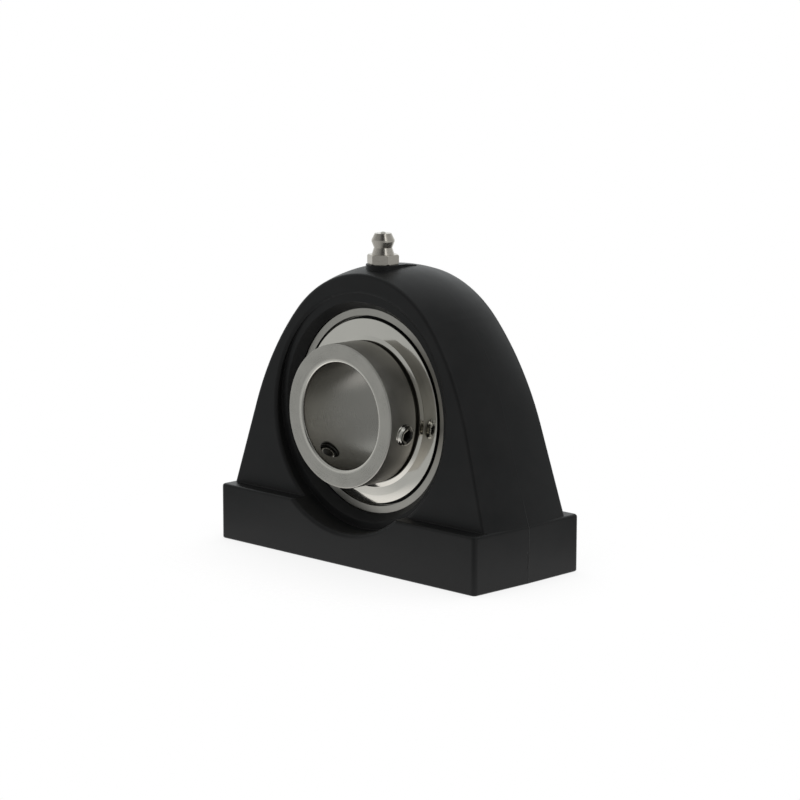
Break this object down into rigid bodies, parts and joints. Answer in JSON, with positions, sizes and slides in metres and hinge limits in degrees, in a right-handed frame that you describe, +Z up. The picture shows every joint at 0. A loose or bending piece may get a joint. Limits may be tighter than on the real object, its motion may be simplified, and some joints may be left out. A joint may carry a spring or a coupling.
{
  "type": "pillow block bearing",
  "caption": "Tapped-base pillow block: moulded black housing with a self-aligning wide-inner-ring insert bearing, set screws, polished flingers and a grease nipple.",
  "frame": {"origin": "middle of the base's underside, straight below the bearing centre, on the mould's parting plane", "axes": "+X along the base, +Y along the shaft away from the set screws, +Z up"},
  "size_m": [0.1028, 0.0437, 0.0934],
  "materials": {
    "housing_plastic": "satin moulded black",
    "ring_steel": "ground stainless",
    "ball_steel": "polished",
    "cage_steel": "pressed sheet",
    "seal_steel": "pressed sheet",
    "seal_rubber": "matte black",
    "flinger_steel": "mirror polished",
    "screw_steel": "bright stainless",
    "nipple_metal": "bright nickel plate",
    "spring_steel": "bright wire",
    "insert_brass": "machined"
  },
  "bodies": {
    "housing": {"housing": "housing_plastic", "base_insert_left": "insert_brass", "base_insert_right": "insert_brass", "grease_nipple_body": "nipple_metal", "nipple_spring": "spring_steel"},
    "outer": {"outer_ring": "ring_steel", "seal_front": "seal_rubber", "seal_rear": "seal_rubber", "seal_case_front": "seal_steel", "seal_case_rear": "seal_steel"},
    "inner": {"inner_ring": "ring_steel", "flinger_front": "flinger_steel", "flinger_rear": "flinger_steel"},
    "cage": {"cage_front": "cage_steel", "cage_rear": "cage_steel", "cage_rivets": "cage_steel"},
    "ball_1": {"ball_1": "ball_steel"},
    "ball_2": {"ball_2": "ball_steel"},
    "ball_3": {"ball_3": "ball_steel"},
    "ball_4": {"ball_4": "ball_steel"},
    "ball_5": {"ball_5": "ball_steel"},
    "ball_6": {"ball_6": "ball_steel"},
    "ball_7": {"ball_7": "ball_steel"},
    "ball_8": {"ball_8": "ball_steel"},
    "ball_9": {"ball_9": "ball_steel"},
    "screw_1": {"set_screw_1": "screw_steel"},
    "screw_2": {"set_screw_2": "screw_steel"},
    "check_ball": {"nipple_check_ball": "ball_steel"}
  },
  "joints": [
    {"name": "insert_alignment", "type": "hinge", "parent": "housing", "child": "outer", "pos_m": [0, 0, 0.0429], "axis": [1, 0, 0], "range_deg": [-2, 2]},
    {"name": "shaft_spin", "type": "hinge", "parent": "outer", "child": "inner", "pos_m": [0, 0, 0.0429], "axis": [0, 1, 0], "continuous": true},
    {"name": "cage_orbit", "type": "hinge", "parent": "outer", "child": "cage", "pos_m": [0, 0, 0.0429], "axis": [0, 1, 0], "continuous": true},
    {"name": "ball_1_roll", "type": "hinge", "parent": "cage", "child": "ball_1", "pos_m": [0, 0, 0.0659], "axis": [0, 1, 0], "continuous": true},
    {"name": "ball_2_roll", "type": "hinge", "parent": "cage", "child": "ball_2", "pos_m": [-0.01478, 0, 0.06052], "axis": [0, 1, 0], "continuous": true},
    {"name": "ball_3_roll", "type": "hinge", "parent": "cage", "child": "ball_3", "pos_m": [-0.02265, 0, 0.04689], "axis": [0, 1, 0], "continuous": true},
    {"name": "ball_4_roll", "type": "hinge", "parent": "cage", "child": "ball_4", "pos_m": [-0.01992, 0, 0.0314], "axis": [0, 1, 0], "continuous": true},
    {"name": "ball_5_roll", "type": "hinge", "parent": "cage", "child": "ball_5", "pos_m": [-0.00787, 0, 0.02129], "axis": [0, 1, 0], "continuous": true},
    {"name": "ball_6_roll", "type": "hinge", "parent": "cage", "child": "ball_6", "pos_m": [0.00787, 0, 0.02129], "axis": [0, 1, 0], "continuous": true},
    {"name": "ball_7_roll", "type": "hinge", "parent": "cage", "child": "ball_7", "pos_m": [0.01992, 0, 0.0314], "axis": [0, 1, 0], "continuous": true},
    {"name": "ball_8_roll", "type": "hinge", "parent": "cage", "child": "ball_8", "pos_m": [0.02265, 0, 0.04689], "axis": [0, 1, 0], "continuous": true},
    {"name": "ball_9_roll", "type": "hinge", "parent": "cage", "child": "ball_9", "pos_m": [0.01478, 0, 0.06052], "axis": [0, 1, 0], "continuous": true},
    {"name": "set_screw_1_travel", "type": "slide", "parent": "inner", "child": "screw_1", "axis": [0.9863, 0, -0.165], "range_m": [-0.0013, 0.003]},
    {"name": "set_screw_2_travel", "type": "slide", "parent": "inner", "child": "screw_2", "axis": [-0.6361, 0, -0.7716], "range_m": [-0.0013, 0.003]},
    {"name": "nipple_check", "type": "slide", "parent": "housing", "child": "check_ball", "axis": [0, 0, -1], "range_m": [0, 0.0008], "stiffness_N_per_m": 50, "springref_m": -0.001, "deforming": ["nipple_spring"]}
  ],
  "couplings": [
    {"joint": "cage_orbit", "follows": "shaft_spin", "ratio": 0.39647},
    {"joint": "ball_1_roll", "follows": "shaft_spin", "ratio": -2.3112},
    {"joint": "ball_2_roll", "follows": "shaft_spin", "ratio": -2.3112},
    {"joint": "ball_3_roll", "follows": "shaft_spin", "ratio": -2.3112},
    {"joint": "ball_4_roll", "follows": "shaft_spin", "ratio": -2.3112},
    {"joint": "ball_5_roll", "follows": "shaft_spin", "ratio": -2.3112},
    {"joint": "ball_6_roll", "follows": "shaft_spin", "ratio": -2.3112},
    {"joint": "ball_7_roll", "follows": "shaft_spin", "ratio": -2.3112},
    {"joint": "ball_8_roll", "follows": "shaft_spin", "ratio": -2.3112},
    {"joint": "ball_9_roll", "follows": "shaft_spin", "ratio": -2.3112}
  ]
}
